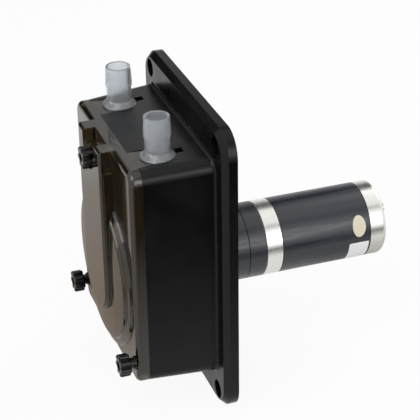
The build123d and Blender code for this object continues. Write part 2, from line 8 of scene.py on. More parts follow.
import bmesh
import bpy
from bpy.props import FloatProperty, FloatVectorProperty, PointerProperty
from mathutils import Euler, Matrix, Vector


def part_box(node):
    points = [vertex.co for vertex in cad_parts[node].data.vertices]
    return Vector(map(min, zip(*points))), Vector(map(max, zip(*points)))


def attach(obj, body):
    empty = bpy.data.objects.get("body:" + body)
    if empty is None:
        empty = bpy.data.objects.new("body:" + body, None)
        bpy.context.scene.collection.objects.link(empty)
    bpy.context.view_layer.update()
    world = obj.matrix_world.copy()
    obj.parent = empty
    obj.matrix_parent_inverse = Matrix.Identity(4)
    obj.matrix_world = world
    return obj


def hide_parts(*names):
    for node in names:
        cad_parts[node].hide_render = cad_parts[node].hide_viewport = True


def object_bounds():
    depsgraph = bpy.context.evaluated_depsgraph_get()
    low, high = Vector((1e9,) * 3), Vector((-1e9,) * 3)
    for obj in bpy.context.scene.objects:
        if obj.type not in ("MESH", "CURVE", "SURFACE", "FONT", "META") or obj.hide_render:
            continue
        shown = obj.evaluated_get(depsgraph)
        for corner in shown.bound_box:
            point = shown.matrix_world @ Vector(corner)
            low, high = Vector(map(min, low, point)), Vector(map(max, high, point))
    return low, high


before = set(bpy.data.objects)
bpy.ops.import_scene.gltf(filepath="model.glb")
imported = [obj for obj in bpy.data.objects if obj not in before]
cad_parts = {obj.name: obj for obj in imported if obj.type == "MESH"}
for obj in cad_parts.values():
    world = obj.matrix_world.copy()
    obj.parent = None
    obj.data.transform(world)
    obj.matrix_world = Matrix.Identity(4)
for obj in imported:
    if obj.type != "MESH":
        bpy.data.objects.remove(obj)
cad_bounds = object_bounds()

bl_info = {
    "name": "Peristaltic pump head",
    "version": (1, 0, 0),
    "blender": (4, 5, 0),
    "location": "View3D > Sidebar > Pump head",
    "description": "Finishes the packed pump head, its tube and its stickers, and sets it on a plain stage",
    "category": "Object",
}

MILLIMETRE = 0.001
ROLLER_COUNT = 4

# How finely the new pieces are divided
LEG_STEPS = 26
BEND_STEPS = 64
TUBE_SIDES = 40
STICKER_ROWS = 24
FLOOR_SQUARES = 8

# Values between which most of a noise lies, as a Map Range node takes them
NOISE_RANGE = {"From Min": 0.3, "From Max": 0.7}

# Values of a noise at which a finish has its first and its second colour, where it gives none of its own
COLOUR_RANGE = (0.35, 0.65)

# Rays with which the shader rounds a sharp edge
EDGE_SAMPLES = 4

# The camera's sensor, and the distance in metres within which it sees nothing
SENSOR_WIDTH_MM = 36
NEAREST_VIEW = 0.01

# Soft boxes of the stage: place and side, in metres. Each faces the drive axis at the flange
LAMPS = {
    "key": ((0.5, -0.7, 1.3), 1.0),
    "fill": ((1.4, 0.3, 0.5), 0.8),
    "rim": ((-0.6, 1.2, 1.0), 0.9),
}

# Share of a card's side over which its edge thins out
CARD_FADE = 0.3

BLACK_CLOTH = "#0a0a0a"
GREY_CLOTH = "#d9d9d4"

# Cards of the stage: the colours at both ends of the first side, the middle of the card, and its two sides as
# directions with their lengths, in metres
CARDS = {
    "flag_low_right": (BLACK_CLOTH, BLACK_CLOTH, (0.42, 0.1, -0.08), (0.62, 0, 0), (0, 1.0, 0)),
    "grey_card_behind": (GREY_CLOTH, GREY_CLOTH, (0.0, 0.22, -0.08), (0.3, 0, 0), (0, 0.36, 0)),
    "flag_high_right": (BLACK_CLOTH, BLACK_CLOTH, (0.42, 0.34, 0.62), (0.09, 0, -0.07), (0, 1.0, 0)),
    "flag_left": (BLACK_CLOTH, BLACK_CLOTH, (-0.6, 0.45, 0.63), (0, 0, 1.2), (0, 0.8, 0)),
    "flag_left_low": (BLACK_CLOTH, BLACK_CLOTH, (-0.6, -0.3, 0.28), (0, 0, 0.6), (0, 0.9, 0)),
    "warm_card": ("#ecebe8", "#b89b7a", (-0.16, -0.21, -0.08), (0.5, 0, 0), (0, 0.62, 0)),
}


def linear(code):
    """Linear red, green and blue of an sRGB hex colour."""
    shares = [int(code[i : i + 2], 16) / 255 for i in (1, 3, 5)]
    return tuple(s / 12.92 if s <= 0.04045 else ((s + 0.055) / 1.055) ** 2.4 for s in shares)


def opaque(colour):
    """A colour with full alpha, as the shader sockets take it."""
    return (*colour, 1.0)


def scaled(colour, factor):
    """A lighter or darker version of a colour."""
    return tuple(min(1.0, channel * factor) for channel in colour)


def per_metre(size_mm):
    """Scale of a texture whose pattern repeats about every size_mm millimetres."""
    return 1 / (size_mm * MILLIMETRE)


def colour_property(name, code, description):
    """A colour that the user can change, with its default as sRGB hex."""
    return FloatVectorProperty(
        name=name, description=description, subtype="COLOR", size=3, min=0, max=1, default=linear(code)
    )


def length_property(name, size_mm, description):
    """A length that the user can change, with its default in millimetres."""
    return FloatProperty(
        name=name, description=description, subtype="DISTANCE", unit="LENGTH", min=0,
        default=size_mm * MILLIMETRE,
    )


def angle_property(name, degrees, description):
    """An angle that the user can change, with its default in degrees."""
    return FloatProperty(name=name, description=description, subtype="ANGLE", default=math.radians(degrees))


def power_property(name, watts, description):
    """A lamp's power that the user can change, with its default in watts."""
    return FloatProperty(name=name, description=description, unit="POWER", min=0, default=watts)


# ---------------------------------------------------------------- properties
class PumpColours(bpy.types.PropertyGroup):
    """Colours of the pump head's materials"""

    housing: colour_property("Housing", "#070708", "Moulded housing and flange")
    cover: colour_property("Cover", "#52452f", "Smoked cover, seen through")
    knobs: colour_property("Knobs", "#050506", "Thumb-screw heads and their washers")
    ports: colour_property("Ports", "#e9edf1", "Hose fittings")
    tube: colour_property("Tube", "#d8b27c", "Pump tube")
    rotor: colour_property("Rotor", "#2b2d30", "Rotor plates and terminal blocks")
    rollers: colour_property("Rollers", "#e9e5da", "Rollers")
    enamel: colour_property("Enamel", "#0f1622", "Gearbox and motor cases")
    aluminium: colour_property("Aluminium", "#eeede8", "Adapter ring and motor end cap")
    zinc: colour_property("Zinc plate", "#c8ccd0", "Screws, studs and washers")
    steel: colour_property("Ground steel", "#b4b6b8", "Shaft, key, pins and bearing")
    brass: colour_property("Brass", "#d9b662", "Threaded inserts, bushes and terminals")
    paper: colour_property("Label paper", "#f3f4f3", "Rectangular label on the motor")
    cream: colour_property("Cream sticker", "#e6dfc8", "Oval sticker on the motor")


class TubeSizes(bpy.types.PropertyGroup):
    """Sizes of the pump tube"""

    diameter: length_property("Diameter", 19.0, "Outer diameter where no roller presses")
    wall: length_property("Wall", 3.15, "Thickness of the tube's wall")
    pinched: length_property("Pinched", 5.5, "Thickness under a roller")


class StickerSizes(bpy.types.PropertyGroup):
    """Sizes and places of the two bare stickers on the motor"""

    thickness: length_property("Thickness", 0.12, "Thickness of both stickers")
    oval_length: length_property("Oval length", 9.6, "Size of the oval sticker along the motor")
    oval_width: length_property("Oval width", 15.6, "Size of the oval sticker round the motor")
    oval_inset: length_property("Oval inset", 8.6, "From the end cap's seam to the oval's middle")
    oval_angle: angle_property("Oval angle", 19, "How far above the horizontal the oval's middle lies")
    label_length: length_property("Label length", 14.6, "Size of the label along the motor")
    label_width: length_property("Label width", 21.0, "Size of the label round the motor")
    label_inset: length_property("Label inset", 8.6, "From the end cap's seam to the label's middle")
    label_angle: angle_property("Label angle", -31, "How far above the horizontal the label's middle lies")
    label_corner: length_property("Label corner", 1.0, "Corner radius of the label")


class StageSettings(bpy.types.PropertyGroup):
    """Camera, lamps, world and floor"""

    camera_distance: length_property("Camera distance", 1000.0, "From the camera to the point it looks at")
    camera_aim: FloatVectorProperty(
        name="Camera aim", description="Point that the camera looks at", subtype="TRANSLATION",
        default=(0.0113, 0.0055, 0.0348),
    )
    camera_azimuth: angle_property("Azimuth", 70.8, "Turn of the camera round the object, 0 in front of it")
    camera_elevation: angle_property("Elevation", 28.67, "Height of the camera above the horizon")
    camera_roll: angle_property("Roll", -0.88, "Turn of the camera about its own axis")
    lens: FloatProperty(name="Lens", description="Focal length in mm", unit="CAMERA", default=128.73)
    floor_width: length_property("Floor width", 6000.0, "Side of the square floor")
    key_power: power_property("Key", 9.0, "Power of the main soft box")
    fill_power: power_property("Fill", 5.0, "Power of the fill soft box")
    rim_power: power_property("Rim", 7.0, "Power of the rear soft box")
    sky_strength: FloatProperty(name="Sky", description="Even light from all round", default=0.42)
    floor_glow: FloatProperty(
        name="Floor whiteness", description="Share of the floor that shows white without light",
        subtype="FACTOR", min=0, max=1, default=0.93,
    )


# ---------------------------------------------------------------- shader building
def add(tree, kind, sockets=None, stops=(), **settings):
    """Adds a node with its settings and colour stops, and gives its sockets values or links."""
    node = tree.nodes.new(kind)
    for name, value in settings.items():
        setattr(node, name, value)
    for i, (position, colour) in enumerate(stops):
        node.color_ramp.elements[i].position = position
        node.color_ramp.elements[i].color = opaque(colour)
    for name, value in (sockets or {}).items():
        if isinstance(value, bpy.types.Node):
            value = next(output for output in value.outputs if output.enabled)
        if isinstance(value, bpy.types.NodeSocket):
            tree.links.new(value, node.inputs[name])
        else:
            node.inputs[name].default_value = value
    return node


def start_material(name):
    """A new material with an empty tree, and the coordinates of its surface in metres."""
    material = bpy.data.materials.new(name)
    material.use_nodes = True
    tree = material.node_tree
    tree.nodes.clear()
    place = add(tree, "ShaderNodeTexCoord").outputs["Object"]
    return material, tree, place


def finish_surface(tree, even, roughness, raised, colours=None, turn_at=COLOUR_RANGE, rounding_mm=0.0):
    """The surface that all finishes of the pump head share, linked to the output.

    even: the shader's sockets that are the same all over
    roughness: a pattern, and the roughness at its low and at its high values
    raised: a pattern, how far it stands out in mm, and its strength
    colours: a pattern and its two colours, with turn_at the values of the pattern at which it has them
    rounding_mm: the radius to which sharp edges look rounded
    """
    sockets = dict(even)
    if colours:
        pattern, first, second = colours
        sockets["Base Color"] = add(
            tree, "ShaderNodeValToRGB", {"Fac": pattern}, stops=zip(turn_at, (first, second))
        )
    pattern, low, high = roughness
    sockets["Roughness"] = add(
        tree, "ShaderNodeMapRange", {"Value": pattern, **NOISE_RANGE, "To Min": low, "To Max": high}
    )
    pattern, height_mm, strength = raised
    relief = {"Height": pattern, "Distance": height_mm * MILLIMETRE, "Strength": strength}
    if rounding_mm:
        radius = rounding_mm * MILLIMETRE
        relief["Normal"] = add(tree, "ShaderNodeBevel", {"Radius": radius}, samples=EDGE_SAMPLES)
    sockets["Normal"] = add(tree, "ShaderNodeBump", relief)
    shader = add(tree, "ShaderNodeBsdfPrincipled", sockets)
    add(tree, "ShaderNodeOutputMaterial", {"Surface": shader})


def turned_lines(tree, place, spacing_mm):
    """Fine lines round the drive axis, as a lathe tool leaves them on a rim and on an end face.

    Real ones lie about 0.1 mm apart. They are drawn at spacing_mm so that they show.
    """
    parts = add(tree, "ShaderNodeSeparateXYZ", {"Vector": place})
    across = add(tree, "ShaderNodeCombineXYZ", {"X": parts.outputs["X"], "Y": parts.outputs["Z"]})
    radius = add(tree, "ShaderNodeVectorMath", {0: across}, operation="LENGTH")
    line = add(tree, "ShaderNodeCombineXYZ", {"X": radius, "Y": parts.outputs["Y"]})
    sockets = {"Vector": line, "Scale": per_metre(spacing_mm), "Detail": 3.0, "Roughness": 0.6}
    return add(tree, "ShaderNodeTexNoise", sockets)


# ---------------------------------------------------------------- materials
def moulded_abs(colour):
    """Black ABS from a spark-eroded mould: deep black, a satin gloss, and a fine even grain."""
    material, tree, place = start_material("moulded_abs")
    # The real grain is finer than 0.2 mm, and is drawn coarser so that it shows
    grain = add(tree, "ShaderNodeTexNoise", {"Vector": place, "Scale": per_metre(0.7), "Detail": 3.0})
    cloud = add(tree, "ShaderNodeTexNoise", {"Vector": place, "Scale": per_metre(22.0)})
    finish_surface(
        tree,
        {"IOR": 1.54, "Specular IOR Level": 0.2},
        roughness=(cloud, 0.25, 0.34),
        raised=(grain, 0.03, 0.5),
        colours=(cloud, colour, scaled(colour, 1.35)),
        rounding_mm=0.35,
    )
    return material


def smoked_polycarbonate(colour):
    """Smoked clear polycarbonate, polished: glossy, brown where light comes through, faint flow lines."""
    material, tree, place = start_material("smoked_polycarbonate")
    drawn = add(tree, "ShaderNodeMapping", {"Vector": place, "Scale": (1, 1, 0.25)})
    flow = add(tree, "ShaderNodeTexNoise", {"Vector": drawn, "Scale": per_metre(14.0), "Detail": 1.0})
    rub = add(tree, "ShaderNodeTexNoise", {"Vector": place, "Scale": per_metre(1.2), "Detail": 4.0})
    finish_surface(
        tree,
        {"Base Color": opaque(colour), "Transmission Weight": 0.86, "IOR": 1.585},
        roughness=(rub, 0.035, 0.075),
        raised=(flow, 0.05, 0.35),
        rounding_mm=0.25,
    )
    return material


def gloss_abs(colour):
    """Black ABS from a polished mould: hard bright reflections with slight sink marks."""
    material, tree, place = start_material("gloss_abs")
    sink = add(tree, "ShaderNodeTexNoise", {"Vector": place, "Scale": per_metre(5.0), "Detail": 1.0})
    handling = add(tree, "ShaderNodeTexNoise", {"Vector": place, "Scale": per_metre(1.6), "Detail": 4.0})
    finish_surface(
        tree,
        {"Base Color": opaque(colour), "IOR": 1.54, "Specular IOR Level": 0.3},
        roughness=(handling, 0.14, 0.24),
        raised=(sink, 0.05, 0.4),
        rounding_mm=0.3,
    )
    return material


def natural_polypropylene(colour):
    """Undyed polypropylene, moulded: clear but milky, light glows through its wall, smooth waxy gloss."""
    material, tree, place = start_material("natural_polypropylene")
    milk = add(tree, "ShaderNodeTexNoise", {"Vector": place, "Scale": per_metre(16.0), "Detail": 1.0})
    finish_surface(
        tree,
        {
            "Subsurface Weight": 0.2,
            "Subsurface Radius": (0.006, 0.0065, 0.007),
            "Subsurface Scale": 1.0,
            "Transmission Weight": 0.82,
            "IOR": 1.49,
        },
        roughness=(milk, 0.16, 0.24),
        raised=(milk, 0.02, 0.2),
        colours=(milk, colour, scaled(colour, 0.97)),
        rounding_mm=0.2,
    )
    return material


def pump_tube_rubber(colour):
    """Extruded pump tube rubber: amber, slightly clear and waxy, with a cloudy bloom and a fine skin."""
    material, tree, place = start_material("pump_tube_rubber")
    bloom = add(tree, "ShaderNodeTexNoise", {"Vector": place, "Scale": per_metre(9.0), "Detail": 3.0})
    skin = add(tree, "ShaderNodeTexNoise", {"Vector": place, "Scale": per_metre(0.8)})
    finish_surface(
        tree,
        {
            "Subsurface Weight": 0.5,
            "Subsurface Radius": (0.006, 0.004, 0.002),
            "Subsurface Scale": 1.0,
            "Transmission Weight": 0.2,
            "IOR": 1.5,
        },
        roughness=(bloom, 0.32, 0.46),
        raised=(skin, 0.03, 0.4),
        colours=(bloom, colour, scaled(colour, 0.85)),
    )
    return material


def glass_filled_nylon(colour):
    """Glass-filled nylon, moulded: dark grey, dull, with pale fibre flecks near the skin."""
    material, tree, place = start_material("glass_filled_nylon")
    drawn = add(tree, "ShaderNodeMapping", {"Vector": place, "Scale": (1, 0.3, 0.3)})
    # Real fibres are a hundredth of a millimetre thick, and are drawn coarser so that they show
    fleck = add(tree, "ShaderNodeTexNoise", {"Vector": drawn, "Scale": per_metre(0.5)})
    finish_surface(
        tree,
        {"IOR": 1.53},
        roughness=(fleck, 0.42, 0.55),
        raised=(fleck, 0.02, 0.5),
        colours=(fleck, colour, scaled(colour, 1.7)),
        turn_at=(0.5, 0.75),
        rounding_mm=0.3,
    )
    return material


def turned_acetal(colour):
    """Turned acetal: off-white, slightly waxy, with tool lines round each roller."""
    material, tree, place = start_material("turned_acetal")
    drawn = add(tree, "ShaderNodeMapping", {"Vector": place, "Scale": (0.02, 1, 0.02)})
    # Real tool lines lie about 0.1 mm apart, and are drawn coarser so that they show
    lines = add(tree, "ShaderNodeTexNoise", {"Vector": drawn, "Scale": per_metre(0.5), "Detail": 3.0})
    finish_surface(
        tree,
        {
            "Subsurface Weight": 0.2,
            "Subsurface Radius": (0.002, 0.002, 0.0018),
            "Subsurface Scale": 1.0,
            "IOR": 1.48,
        },
        roughness=(lines, 0.28, 0.38),
        raised=(lines, 0.02, 0.4),
        colours=(lines, colour, scaled(colour, 0.93)),
    )
    return material


def stoved_enamel(colour):
    """Stoved enamel on steel: blue-black satin with soft lengthwise streaks and a few fine scuffs."""
    material, tree, place = start_material("stoved_enamel")
    drawn = add(tree, "ShaderNodeMapping", {"Vector": place, "Scale": (1, 0.06, 1)})
    sockets = {"Vector": drawn, "Scale": per_metre(2.4), "Detail": 3.0, "Roughness": 0.6}
    streak = add(tree, "ShaderNodeTexNoise", sockets)
    peel = add(tree, "ShaderNodeTexNoise", {"Vector": place, "Scale": per_metre(1.5)})
    rubbed = add(tree, "ShaderNodeMapping", {"Vector": place, "Scale": (1, 0.2, 1)})
    sockets = {"Vector": rubbed, "Scale": per_metre(0.9), "Detail": 5.0, "Roughness": 0.7}
    scuff = add(tree, "ShaderNodeTexNoise", sockets)
    finish_surface(
        tree,
        {"IOR": 1.5, "Specular IOR Level": 0.75},
        roughness=(streak, 0.24, 0.44),
        raised=(peel, 0.04, 0.35),
        colours=(scuff, colour, scaled(colour, 2.6)),
        turn_at=(0.6, 0.82),
    )
    return material


def turned_aluminium(colour):
    """Turned aluminium: bright, with fine tool lines that draw its reflections out along the motor."""
    material, tree, place = start_material("turned_aluminium")
    lines = turned_lines(tree, place, 0.35)
    finish_surface(
        tree,
        {"Metallic": 1.0},
        roughness=(lines, 0.2, 0.32),
        raised=(lines, 0.012, 0.6),
        colours=(lines, colour, scaled(colour, 0.86)),
    )
    return material


def zinc_plated_steel(colour):
    """Zinc-plated steel: pale grey metal with a faint crystalline mottling."""
    material, tree, place = start_material("zinc_plated_steel")
    mottle = add(tree, "ShaderNodeTexNoise", {"Vector": place, "Scale": per_metre(1.1), "Detail": 4.0})
    finish_surface(
        tree,
        {"Metallic": 1.0},
        roughness=(mottle, 0.24, 0.4),
        raised=(mottle, 0.01, 0.4),
        colours=(mottle, scaled(colour, 0.82), colour),
    )
    return material


def ground_steel(colour):
    """Ground steel: darker grey metal with fine lines round the shaft."""
    material, tree, place = start_material("ground_steel")
    lines = turned_lines(tree, place, 0.3)
    finish_surface(
        tree,
        {"Metallic": 1.0},
        roughness=(lines, 0.16, 0.28),
        raised=(lines, 0.008, 0.5),
        colours=(lines, scaled(colour, 0.85), colour),
    )
    return material


def turned_brass(colour):
    """Turned brass: warm yellow metal, slightly tarnished in patches."""
    material, tree, place = start_material("turned_brass")
    tarnish = add(tree, "ShaderNodeTexNoise", {"Vector": place, "Scale": per_metre(3.0), "Detail": 4.0})
    marks = add(tree, "ShaderNodeTexNoise", {"Vector": place, "Scale": per_metre(0.4)})
    finish_surface(
        tree,
        {"Metallic": 1.0},
        roughness=(tarnish, 0.2, 0.36),
        raised=(marks, 0.008, 0.4),
        colours=(tarnish, scaled(colour, 0.75), colour),
    )
    return material


def coated_paper(name, colour):
    """Coated label paper: matt to silky, with the fibres just raised."""
    material, tree, place = start_material(name)
    # Real fibres are a few hundredths of a millimetre thick, and are drawn coarser so that they show
    sockets = {"Vector": place, "Scale": per_metre(0.35), "Detail": 4.0, "Roughness": 0.65}
    fibre = add(tree, "ShaderNodeTexNoise", sockets)
    finish_surface(
        tree,
        {"IOR": 1.47},
        roughness=(fibre, 0.42, 0.55),
        raised=(fibre, 0.01, 0.4),
        colours=(fibre, colour, scaled(colour, 0.96)),
    )
    return material


def white_floor(glow):
    """Matt white floor that shows white to the camera and in reflections, and still takes the shadow."""
    material, tree = start_material("white_floor")[:2]
    path = add(tree, "ShaderNodeLightPath")
    seen = path.outputs["Is Camera Ray"]
    for ray in ("Is Glossy Ray", "Is Transmission Ray"):
        seen = add(tree, "ShaderNodeMath", {0: seen, 1: path.outputs[ray]}, operation="MAXIMUM")
    share = add(tree, "ShaderNodeMath", {0: seen, 1: glow}, operation="MULTIPLY")
    paint = add(tree, "ShaderNodeBsdfDiffuse", {"Color": opaque(linear("#f4f4f4"))})
    white = add(tree, "ShaderNodeEmission", {"Color": opaque(linear("#ffffff")), "Strength": 1.0})
    mixed = add(tree, "ShaderNodeMixShader", {0: share, 1: paint, 2: white})
    add(tree, "ShaderNodeOutputMaterial", {"Surface": mixed})
    return material


def card_cloth(name, left, right, across, along):
    """Matt cloth, shaded from left to right. It thins out at its edges, so that no reflection shows them."""
    material, tree, place = start_material(name)
    shares = [
        add(tree, "ShaderNodeVectorMath", {0: place, 1: side / side.length_squared}, operation="DOT_PRODUCT")
        for side in (across, along)
    ]
    cover = 1.0
    edge = {"From Min": 0.5 - CARD_FADE, "From Max": 0.5, "To Min": 1.0, "To Max": 0.0}
    for share in shares:
        away = add(tree, "ShaderNodeMath", {0: share}, operation="ABSOLUTE")
        fade = add(tree, "ShaderNodeMapRange", {"Value": away, **edge})
        cover = add(tree, "ShaderNodeMath", {0: fade, 1: cover}, operation="MULTIPLY")
    reach = add(tree, "ShaderNodeMapRange", {"Value": shares[0], "From Min": -0.5, "From Max": 0.5})
    ends = ((0.0, linear(left)), (1.0, linear(right)))
    colour = add(tree, "ShaderNodeValToRGB", {"Fac": reach}, stops=ends)
    cloth = add(tree, "ShaderNodeBsdfDiffuse", {"Color": colour})
    gone = add(tree, "ShaderNodeBsdfTransparent")
    mixed = add(tree, "ShaderNodeMixShader", {0: cover, 1: gone, 2: cloth})
    add(tree, "ShaderNodeOutputMaterial", {"Surface": mixed})
    return material


def dress(material, *names):
    """Gives the named CAD parts this material in place of their own."""
    for name in names:
        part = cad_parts[name]
        part.data.materials.clear()
        part.data.materials.append(material)


# ---------------------------------------------------------------- new pieces
def new_object(name, data):
    """An object for its data, linked into the scene."""
    made = bpy.data.objects.new(name, data)
    bpy.context.scene.collection.objects.link(made)
    return made


def mesh_object(name, mesh, material):
    """An object for a finished bmesh, with its material."""
    data = bpy.data.meshes.new(name)
    mesh.to_mesh(data)
    mesh.free()
    data.materials.append(material)
    return new_object(name, data)


def smooth_piece(name, mesh, material, body):
    """A smoothly shaded piece that rides on a body of the frame."""
    piece = mesh_object(name, mesh, material)
    for face in piece.data.polygons:
        face.use_smooth = True
    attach(piece, body)
    return piece


def bridge(mesh, rings):
    """Quads between each ring of vertices and the next."""
    for ring, following in zip(rings, rings[1:]):
        for i in range(len(ring)):
            j = (i + 1) % len(ring)
            mesh.faces.new((ring[i], ring[j], following[j], following[i]))


def ease(share):
    """Rises smoothly from 0 to 1 as share goes from 0 to 1, and stays there."""
    share = max(0.0, min(1.0, share))
    return share * share * (3 - 2 * share)


def tube_stations(sizes):
    """Stations along the tube, each with its centre, outward direction, half thickness and half width.

    The tube comes down from the left fitting, follows the round track under the rotor and goes up to the
    right one. It lies against the track, pressed flat where a roller stands and round midway between rollers.
    """
    low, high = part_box("pump_tube")
    round_half = sizes.diameter / 2
    flat_half = sizes.pinched / 2
    flat_width = (high[1] - low[1]) / 2
    track = high[0]
    leg = high[2]
    roller_step = 2 * math.pi / ROLLER_COUNT
    relaxed_leg = roller_step / 2 * track

    def station(x, z, outward, share):
        """One station whose outer side lies on the track at x, z; share is 0 where flat and 1 where round."""
        thickness = flat_half + (round_half - flat_half) * share
        width = flat_width + (round_half - flat_width) * share
        return (Vector((x, 0, z)) - outward * thickness, outward, thickness, width)

    def leg_stations(side):
        """The straight leg on one side, -1 left or 1 right, from its top down."""
        heights = [leg * i / LEG_STEPS for i in range(LEG_STEPS, 0, -1)]
        outward = Vector((side, 0, 0))
        return [station(side * track, z, outward, ease(z / relaxed_leg)) for z in heights]

    bend = []
    for i in range(BEND_STEPS + 1):
        angle = math.pi * (1 + i / BEND_STEPS)
        outward = Vector((math.cos(angle), 0, math.sin(angle)))
        from_roller = abs((angle + roller_step / 2) % roller_step - roller_step / 2)
        share = ease(from_roller / (roller_step / 2))
        bend.append(station(track * outward.x, track * outward.z, outward, share))
    return leg_stations(-1) + bend + leg_stations(1)[::-1]


def build_tube(sizes, material):
    """The pump tube as a hollow sweep whose section goes from a ring to a flat oval under each roller."""
    low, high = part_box("pump_tube")
    middle = (low[1] + high[1]) / 2
    # Half the height of the slit that stays of the bore under a roller, so that its sides don't meet
    slit = sizes.wall / 30
    mesh = bmesh.new()

    def ring(station, inset):
        """The section's outline, inset by the tube's wall for the bore."""
        centre, outward, thickness, width = station
        half_thickness = max(thickness - inset, slit)
        half_width = width - inset
        points = []
        for i in range(TUBE_SIDES):
            angle = 2 * math.pi * i / TUBE_SIDES
            point = centre + outward * half_thickness * math.cos(angle)
            point.y = middle + half_width * math.sin(angle)
            points.append(mesh.verts.new(point))
        return points

    stations = tube_stations(sizes)
    outer = [ring(station, 0) for station in stations]
    inner = [ring(station, sizes.wall) for station in stations]
    bridge(mesh, outer)
    bridge(mesh, inner[::-1])
    bridge(mesh, [inner[0], outer[0]])
    bridge(mesh, [outer[-1], inner[-1]])
    bmesh.ops.recalc_face_normals(mesh, faces=mesh.faces)
    tube = smooth_piece("formed_pump_tube", mesh, material, "base")
    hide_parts("pump_tube")


def lay_sticker(name, material, size, corner, middle, angle, thickness):
    """A sticker laid on the motor's round case. Its size and corners are along the motor and round it."""
    low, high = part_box("motor_can")
    radius = (high[0] - low[0]) / 2
    length, width = size
    mesh = bmesh.new()

    def half_span(along):
        """Half the sticker's width at a distance along from its middle, less at its rounded corners."""
        past = max(0.0, abs(along) - (length / 2 - corner[0]))
        return width / 2 - corner[1] * (1 - math.sqrt(max(0.0, 1 - (past / corner[0]) ** 2)))

    def rim(lines):
        """The vertices round the edge of one layer, in order."""
        up, down = [line[0] for line in lines], [line[-1] for line in lines[-2::-1]]
        return up + lines[-1][1:] + down + lines[0][-2:0:-1]

    layers = []
    for lift in (0, thickness):
        reach = radius + lift
        lines = []
        for i in range(STICKER_ROWS + 1):
            along = -length / 2 * math.cos(math.pi * i / STICKER_ROWS)
            span = max(half_span(along), thickness)
            line = []
            for j in range(STICKER_ROWS + 1):
                turn = angle + span * (2 * j / STICKER_ROWS - 1) / radius
                place = (reach * math.cos(turn), middle + along, reach * math.sin(turn))
                line.append(mesh.verts.new(place))
            lines.append(line)
        for line, following in zip(lines, lines[1:]):
            for j in range(STICKER_ROWS):
                mesh.faces.new((line[j], line[j + 1], following[j + 1], following[j]))
        layers.append(lines)
    bridge(mesh, [rim(lines) for lines in layers])
    bmesh.ops.recalc_face_normals(mesh, faces=mesh.faces)
    smooth_piece(name, mesh, material, "base")


# ---------------------------------------------------------------- stage
def soft_box(name, place, side, power):
    """A square lamp that faces the origin."""
    lamp = bpy.data.lights.new(name, "AREA")
    lamp.shape = "SQUARE"
    lamp.size = side
    lamp.energy = power
    holder = new_object(name, lamp)
    holder.location = place
    holder.rotation_euler = (-Vector(place)).to_track_quat("-Z", "Y").to_euler()


def light_world(strength):
    """A white world: full white to the camera and in reflections, and a weaker even sky as light."""
    world = bpy.data.worlds.new("studio")
    bpy.context.scene.world = world
    world.use_nodes = True
    tree = world.node_tree
    tree.nodes.clear()
    diffuse = add(tree, "ShaderNodeLightPath").outputs["Is Diffuse Ray"]
    lit = add(tree, "ShaderNodeMapRange", {"Value": diffuse, "To Min": 1.0, "To Max": strength})
    sky = add(tree, "ShaderNodeBackground", {"Color": opaque(linear("#ffffff")), "Strength": lit})
    add(tree, "ShaderNodeOutputWorld", {"Surface": sky})


def place_camera(stage):
    """The scene's camera, at its distance from the point that it looks at."""
    azimuth, elevation = stage.camera_azimuth, stage.camera_elevation
    towards = Vector((
        -math.sin(azimuth) * math.cos(elevation),
        math.cos(azimuth) * math.cos(elevation),
        -math.sin(elevation),
    ))
    camera = bpy.data.cameras.new("camera")
    camera.lens = stage.lens
    camera.sensor_width = SENSOR_WIDTH_MM
    camera.clip_start = NEAREST_VIEW
    holder = new_object("camera", camera)
    holder.location = Vector(stage.camera_aim) - towards * stage.camera_distance
    turn = Euler((math.pi / 2 - elevation, 0, azimuth)).to_matrix()
    roll = Euler((0, 0, stage.camera_roll)).to_matrix()
    holder.rotation_euler = (turn @ roll).to_euler()
    bpy.context.scene.camera = holder


def build_floor(stage):
    """A wide flat floor under the part."""
    mesh = bmesh.new()
    half = stage.floor_width / 2
    bmesh.ops.create_grid(mesh, x_segments=FLOOR_SQUARES, y_segments=FLOOR_SQUARES, size=half)
    for vertex in mesh.verts:
        vertex.co.z = cad_bounds[0][2]
    floor = mesh_object("floor", mesh, white_floor(stage.floor_glow))


def build_cards():
    """Cards that only reflections see, so the object's light and shadow stay as they are."""
    for name, (left, right, middle, across, along) in CARDS.items():
        data = bpy.data.meshes.new(name)
        across, along = Vector(across), Vector(along)
        corners = [(across * i + along * j) / 2 for i, j in ((-1, -1), (1, -1), (1, 1), (-1, 1))]
        data.from_pydata(corners, [], [(0, 1, 2, 3)])
        data.materials.append(card_cloth(name, left, right, across, along))
        card = new_object(name, data)
        card.location = middle
        for ray in ("camera", "diffuse", "transmission", "shadow"):
            setattr(card, f"visible_{ray}", False)


# ---------------------------------------------------------------- operators
class PUMPHEAD_OT_housing(bpy.types.Operator):
    """Finish the housing moulding"""

    bl_idname = "pumphead.housing"
    bl_label = "Housing"

    def execute(self, context):
        dress(moulded_abs(context.scene.pump_colours.housing), "pump_housing")
        return {"FINISHED"}


class PUMPHEAD_OT_cover(bpy.types.Operator):
    """Finish the smoked front cover"""

    bl_idname = "pumphead.cover"
    bl_label = "Cover"

    def execute(self, context):
        dress(smoked_polycarbonate(context.scene.pump_colours.cover), "front_cover")
        return {"FINISHED"}


class PUMPHEAD_OT_thumb_screws(bpy.types.Operator):
    """Finish the three thumb-screws, their washers and the inserts that they turn in"""

    bl_idname = "pumphead.thumb_screws"
    bl_label = "Thumb-screws"

    def execute(self, context):
        colours = context.scene.pump_colours
        dress(gloss_abs(colours.knobs), "knob_top", "knob_left", "knob_right", "knob_washers")
        dress(zinc_plated_steel(colours.zinc), "stud_top", "stud_left", "stud_right")
        dress(turned_brass(colours.brass), "threaded_inserts")
        return {"FINISHED"}


class PUMPHEAD_OT_ports(bpy.types.Operator):
    """Finish the two hose fittings"""

    bl_idname = "pumphead.ports"
    bl_label = "Hose fittings"

    def execute(self, context):
        dress(natural_polypropylene(context.scene.pump_colours.ports), "port_left", "port_right")
        return {"FINISHED"}


